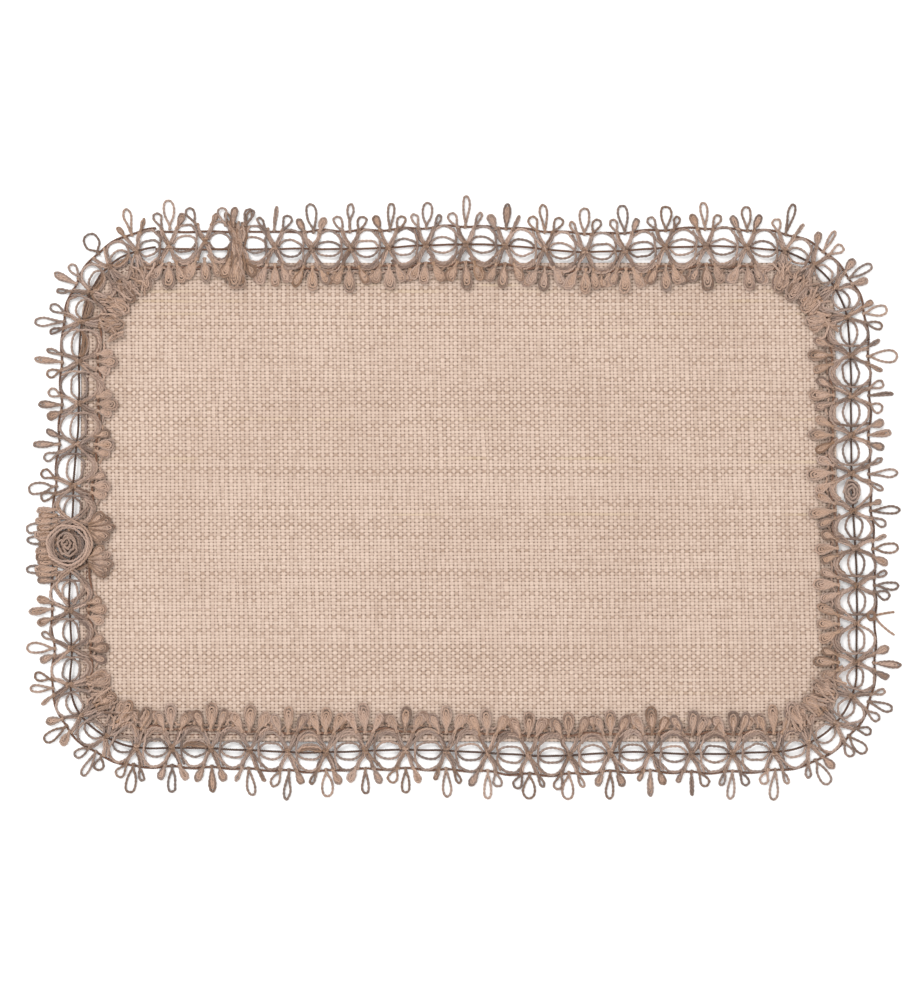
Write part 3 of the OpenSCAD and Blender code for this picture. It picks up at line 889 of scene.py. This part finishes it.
def outer_petals():
    for k, fan in enumerate(FANS):
        if fan == "...":
            continue
        s = node_s(k)
        node = "outer_petals_" + SIDES[side_of(s)]
        middle = MIDDLE_PETAL * (1.1 if k % TALLER_EVERY == 0 else 1.0)
        warm, grey = rng.uniform(0, 0.35), rng.uniform(0.05, 0.4)
        places = ((-FAN_FOOT, SIDE_PETAL, -0.42), (0, middle, 0.0), (FAN_FOOT, SIDE_PETAL, 0.42))
        for kind, (x, length, lean) in zip(fan, places, strict=True):
            if kind in PETALS:
                foot = x + rng.normal(0, 0.4)
                lift = LIFT_PETAL + 0.3 * MM * (kind in "fk")
                petal(node, s, OUTER_GAP, 1, foot, length, lean, kind, lift, 0.5, warm, grey)
        arms(node, s, 1, FAN_FOOT, ARM_REACH)


INNER_SIDE_PETAL = 9.2
INNER_MIDDLE_PETAL = 11.8
INNER_BETWEEN_PETAL = 5.0
# An inner fan's side petals: how far to the side their feet are, in mm, and how far they lean out,
# as a rule and by the stretch of the lace that side_of gives.
USUAL_SPREAD = (4.3, 0.42)
INNER_SPREAD = {3: (3.6, 0.28), 4: (2.2, 0.1)}
BETWEEN_FOOT = 8.4
BETWEEN_D = -3.2 * MM
# How much longer than usual the inner petals are, by the stretch of the lace.
INNER_LONGER = {2: 1.05, 3: 0.75}
FOOT_STRAND = [(-10, -12.6), (-6, -13.8), (-3, -12.2), (0, -13.4), (3, -12.2), (6, -13.8), (10, -12.6)]
TANGLE = 9


def tangle(node, s, count):
    """Loose turns of twine that cross the bunched petals of a corner."""
    for _ in range(count):
        x, y = rng.uniform(-9, 9), rng.uniform(-19, -8)
        along_x, along_y = rng.uniform(-5, 5), rng.uniform(1.5, 5)
        curl = rng.normal(0, 1.2, 2)
        line = [(x - along_x, y - along_y), (x + curl[0], y + curl[1]), (x + along_x, y + along_y)]
        strand(node, bent(s, line), rng.uniform(1.6, 2.3) * MM, PLY_R, dyed(0.4, 0.3, 0.05))


def inner_petals():
    for k in range(MOTIFS):
        if k in (ROSETTE_RING, ROSETTE_RING + 1):
            continue
        s = node_s(k)
        place = side_of(s)
        corner = place == 4
        node = "inner_petals_" + SIDES[place]
        foot, splay = INNER_SPREAD.get(place, USUAL_SPREAD)
        longer = INNER_LONGER.get(place, 1.0)
        warm, dark = rng.uniform(0.15, 0.45), rng.uniform(0.2, 0.5)
        places = [(-foot, INNER_SIDE_PETAL, splay, "j"), (foot, INNER_SIDE_PETAL, -splay, "j")]
        places += [(0, INNER_MIDDLE_PETAL, 0.0, "i")]
        for x, length, lean, kind in places:
            foot_x = x + rng.normal(0, 0.3)
            length *= longer * rng.normal(1, 0.06)
            lift = 1.1 * MM + 0.4 * MM * (kind == "i")
            petal(node, s, -INNER_GAP, -1, foot_x, length, -lean, kind, lift, dark, warm, 0.05)
        if place in (0, 2):
            for x, lean in ((-BETWEEN_FOOT, -0.15), (BETWEEN_FOOT, 0.15)):
                length = INNER_BETWEEN_PETAL * longer * rng.normal(1, 0.08)
                d = -INNER_GAP + BETWEEN_D
                petal(node, s, d, -1, x, length, lean, "j", LIFT_UNDER, dark + 0.1, warm, 0.05)
        arms(node, s, -1, foot if corner else FAN_FOOT, ARM_REACH)
        reach = 0.55 if corner else 1.0
        feet = [(x * reach, y) for x, y in FOOT_STRAND]
        strand(node, bent(s, feet, 0.7 * MM), LIFT_UNDER, PLY_R, dyed(0.5, 0.3, 0.1))
        if corner:
            tangle(node, s, TANGLE)


def circle(r, turns=1.0, squash=1.0, start=0.0, points=14, grow=0.0):
    """A circle or a spiral, squashed across and growing by so much a turn."""
    t = np.linspace(0, 2 * math.pi * turns, int(points * turns) + 1)
    rr = r + grow * t / (2 * math.pi)
    return np.stack([rr * np.cos(t + start), rr * squash * np.sin(t + start)], -1)


ROSETTE_D = 2 * MM
ROSETTE_WEAVE = [
    (29.5, 0.6), (26.5, 5.4), (21, 8), (16, 4.8), (12.6, 0), (9.2, -5.6), (4.5, -9.3), (0, -10.2),
    (-4.5, -9.3), (-9.2, -5.6), (-12.6, 0), (-16, 4.8), (-21, 8), (-26.5, 5.4), (-29.5, 0.6),
]
ROSETTE_TIES = [
    [(12.8, 0), (11.6, 4), (10, 7.4), (8.6, 10.5)],
    [(12.8, 0), (14.2, 4), (14.6, 7.4), (14.4, 10.5)],
    [(12.8, 0), (12.2, -4.4), (11, -8), (9.5, -11)],
]
ROSETTE_PETALS = 13
ROSETTE_STEP = 3.1
ROSETTE_LOOPS = (10.6, 2.4, -12.4)
ROSETTE_FANS = (-8.6, 8.6)
# The loop's two turns: radius in mm and lift over the first. The coil's two layers: turns, growth
# a turn in mm, lift and how dark. The lower layer is darker, a painted shade in the gaps between
# the upper turns.
ROSETTE_TURNS = ((9.0, 0.0), (10.2, 0.2 * MM))
ROSETTE_COILS = ((3.2, 1.8, LIFT_TOP, 0.3), (6.2, 1.35, LIFT_WALE, 0.75))
ROSETTE_BARS = (-5.8, -6.9, -8.0, 6.6, 7.8)
COIL_SQUASH = 0.78
COIL_SHAKE = 0.55


def rosette():
    """The motif on the left side that covers one ring: a coil in a loop, with petals packed round."""
    s = ring_s(ROSETTE_RING) + ROSETTE_SHIFT
    for r, rise in ROSETTE_TURNS:
        loop = circle(r, squash=1.06)[:-1]
        loop = loop + rng.normal(0, 0.35, loop.shape)
        dye = dyed(0.35, 0.2, 0.2)
        strand("rosette_loop", rigid(s, loop, ROSETTE_D), LIFT_TOP + rise, dye=dye, closed=True)
    for up in (1, -1):
        weave = bent(s, [(x, up * y) for x, y in ROSETTE_WEAVE])
        lift = np.interp(np.abs(np.array(ROSETTE_WEAVE)[:, 0]), (0, 14, 24), (2.9, 2.6, 0.6)) * MM
        bundle("rosette_loop", weave, lift, 2, 1.2 * MM, 0.45, 0.2, 0.2, radius=PLY_R)
    for turns, grow, lift, dark in ROSETTE_COILS:
        coil = circle(1.1, turns, COIL_SQUASH, grow=grow)
        coil = coil + rng.normal(0, COIL_SHAKE, coil.shape)
        strand("rosette_coil", rigid(s, coil, ROSETTE_D), lift, dye=dyed(dark, 0.35, 0.1))
    for y in ROSETTE_BARS:
        line = [(-5.4, y * 0.72), (-2.4, y), (2.4, y), (5.4, y * 0.72)]
        strand("rosette_coil", rigid(s, line, ROSETTE_D), LIFT_WALE, dye=dyed(0.5, 0.1, 0.4))
    for end in (-1, 1):
        for reach in ROSETTE_TIES:
            line = bent(s, [(end * x, y) for x, y in reach])
            bundle("rosette_loop", line, LIFT_WALE, 2, 1.1 * MM, 0.5, 0.3, 0.15, radius=PLY_R)
    for i in range(ROSETTE_PETALS):
        x = (i - (ROSETTE_PETALS - 1) / 2) * ROSETTE_STEP
        length = rng.uniform(8.8, 11.6)
        node = "rosette_outer_petals"
        petal(node, s, OUTER_GAP - 1 * MM, 1, x, length, 0.0, "f", 1.3 * MM, 0.45, 0.3, 0.15, TWINE_R)
    for x in ROSETTE_LOOPS:
        petal("rosette_outer_petals", s, OUTER_GAP, 1, x, 13.4, 0.0, "o", 0.7 * MM, 0.6, 0, 0.6)
    for x0 in ROSETTE_FANS:
        for turn in range(-2, 3):
            x, length, lean = x0 + 1.4 * turn, 12.2 - 1.8 * abs(turn), 0.3 * turn
            node = "rosette_inner_petals"
            petal(node, s, -INNER_GAP, -1, x, length, lean, "j", 1.5 * MM, 0.5, 0.3, 0.1)


LAP_STRANDS = 30
LAP_HALF = 4.9
LAP_SHAKE = 0.9
# The lap join's petals: place along the lace, length, lean and kind.
LAP_OUTER = ((-5.6, 8.8, -0.25, "o"), (-1.5, 9.4, 0.1, "f"), (5.0, 8.2, 0.3, "o"))
LAP_INNER = ((-3.4, 9.0, 0.3, "j"), (4.4, 9.0, -0.6, "w"), (0, 14.2, 0, "i"))


def lap_join():
    """Where the lace is bunched: strands that cross each other from the outer edge to the cloth."""
    s = node_s(LAP_NODE) + LAP_SHIFT
    for _ in range(LAP_STRANDS):
        x = np.linspace(*rng.uniform(-LAP_HALF, LAP_HALF, 2), 5) + rng.normal(0, LAP_SHAKE, 5)
        top, foot = 9 + rng.uniform(-2, 2.5), -20 + rng.uniform(-3, 3)
        line = list(zip(x, (top, 4, -3.5, -11, foot), strict=True))
        lift = LIFT_OVER + rng.uniform(-1.2, 0.6) * MM
        dye = dyed(rng.uniform(0.0, 0.95), 0.4, 0)
        strand("lap_join_strands", bent(s, line, 0.3 * MM), lift, PLY_R, dye)
    for x, length, lean, kind in LAP_OUTER:
        petal("lap_join_petals", s, OUTER_GAP, 1, x, length, lean, kind, 1.6 * MM, 0.5, 0.15, 0.2)
    for x, length, lean, kind in LAP_INNER:
        petal("lap_join_petals", s, -INNER_GAP, -1, x, length, -lean, kind, 1.9 * MM, 0.5, 0.4, 0)


TAIL_AFTER = 61 * MM
TAIL_D = 7.6 * MM
TAIL_TIPS = (-2, 10)
EDGE_KNOT_S = 64 * MM
EDGE_KNOT_D = -9.5 * MM
EDGE_KNOT_R = 2.0
# The wound eye's two layers: where the winding starts, its lift and how dark.
WOUND_LAYERS = ((0.5, LIFT_OVER, 0.4), (2.6, LIFT_WALE, 0.8))


def repairs():
    """The eye wound full of twine, the knot with two yarn ends and the small ring on the top edge."""
    s = ring_s(WOUND_RING)
    for start, lift, dark in WOUND_LAYERS:
        wound = circle(1.6, 2.7, 0.72, start, grow=1.8)
        wound = wound + rng.normal(0, 0.3, wound.shape)
        strand("wound_eye", rigid(s, wound), lift, PLY_R, dyed(dark, 0.15, 0.35))
    s = CX + BEND + CY + TAIL_AFTER
    strand("tail_knot", rigid(s, circle(1.5, 2.2, grow=0.4), TAIL_D), LIFT_OVER, dye=dyed(0.8, 0.4, 0))
    for x in TAIL_TIPS:
        tail = [(0, 1.5), (x * 0.4, 4.5), (x * 0.8, 9), (x, 12)]
        strand("tail_knot", rigid(s, tail, TAIL_D), LIFT_UNDER, PLY_R, dyed(0.7, 0.5, 0))
    loop = rigid(EDGE_KNOT_S, circle(EDGE_KNOT_R)[:-1], EDGE_KNOT_D)
    strand("edge_knot", loop, LIFT_OVER, closed=True)


def seam_path(inset, step):
    """Points a step apart round the panel, inset inside its edge."""
    half = PANEL_HALF - inset
    r = PANEL_R - inset
    quarter = r * math.pi / 2
    legs = [2 * (half[0] - r), quarter, 2 * (half[1] - r), quarter] * 2
    starts = np.concatenate([[0], np.cumsum(legs)])
    t = np.arange(0, starts[-1], step)
    part = np.clip(np.searchsorted(starts, t, side="right") - 1, 0, 7)
    x = t - starts[part]
    side, turning = part // 2, part % 2
    heading = -math.pi / 2 * (side + turning * x / quarter)
    out = np.stack([-np.sin(heading), np.cos(heading)], -1)
    on = np.stack([np.cos(heading), np.sin(heading)], -1)
    corner = np.array([[1, 1], [1, -1], [-1, -1], [-1, 1]]) * (half - r)
    centre = corner[np.where(turning == 1, side, (side + 3) % 4)]
    return PANEL_MID + centre + r * out + ((1 - turning) * x)[:, None] * on


STITCH_STEP = 0.4 * MM
STITCH_R = 0.22 * MM
STITCH_SINK = 0.3 * MM
STITCH_RISE = 0.35 * MM
HEM_SEAM_INSET = HEM_W - 2 * MM
LACE_SEAM_INSET = 3.6 * MM


def stitches(node, inset, length, gap, dark):
    """A line of running stitches that dip into the cloth at their ends."""
    path = seam_path(inset, STITCH_STEP)
    per, held = int((length + gap) / STITCH_STEP), int(length / STITCH_STEP)
    made = tubes.setdefault(node, Tubes())
    for a in range(0, len(path) - per, per):
        xy = path[a : a + held + 1]
        rise = np.sin(np.linspace(0, math.pi, len(xy)))
        z = rest_height(xy) - STITCH_SINK + STITCH_RISE * rise
        path_3d = np.column_stack([xy, z])
        made.add(path_3d, STITCH_R, lobe=0.1, lay=1.2 * MM, sides=6, dye=dyed(dark, 0, 0))


def seams():
    stitches("hem_seam", HEM_SEAM_INSET, 2.6 * MM, 0.9 * MM, 0.4)
    stitches("lace_seam", LACE_SEAM_INSET, 2.4 * MM, 0.8 * MM, 0.6)


# ---------------------------------------------------------------- putting it together
add_camera()
add_studio()

burlap = burlap_material()
GOLD, ASH = srgb(172, 126, 78), srgb(126, 116, 111)
jute = twine_material("jute_twine", srgb(183, 156, 141), srgb(106, 85, 75), GOLD, ASH)
wale = twine_material("wale_thread", srgb(128, 94, 74), srgb(64, 44, 34), srgb(140, 86, 62), ASH)
seam_red = twine_material("sewing_thread", srgb(140, 92, 74), srgb(98, 62, 50), GOLD, ASH)
seam_pale = twine_material("hem_thread", srgb(192, 170, 150), srgb(160, 137, 117), GOLD, ASH)

wales()
rings()
knots()
outer_petals()
inner_petals()
rosette()
lap_join()
repairs()
seams()


def look_of(node):
    """The material a node's strands are made of, and its name."""
    if "wale" in node:
        return wale, "wale_thread"
    if node == "lace_seam":
        return seam_red, "sewing_thread"
    if node == "hem_seam":
        return seam_pale, "hem_thread"
    return jute, "jute_twine"


for node, made in tubes.items():
    material, slot = look_of(node)
    piece = made.build("spun_" + node, material)
    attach(piece, "root")
    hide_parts(node)

cloth, cut, cut_area = cloth_piece(burlap)
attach(cloth, "root")
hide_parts("burlap_panel")
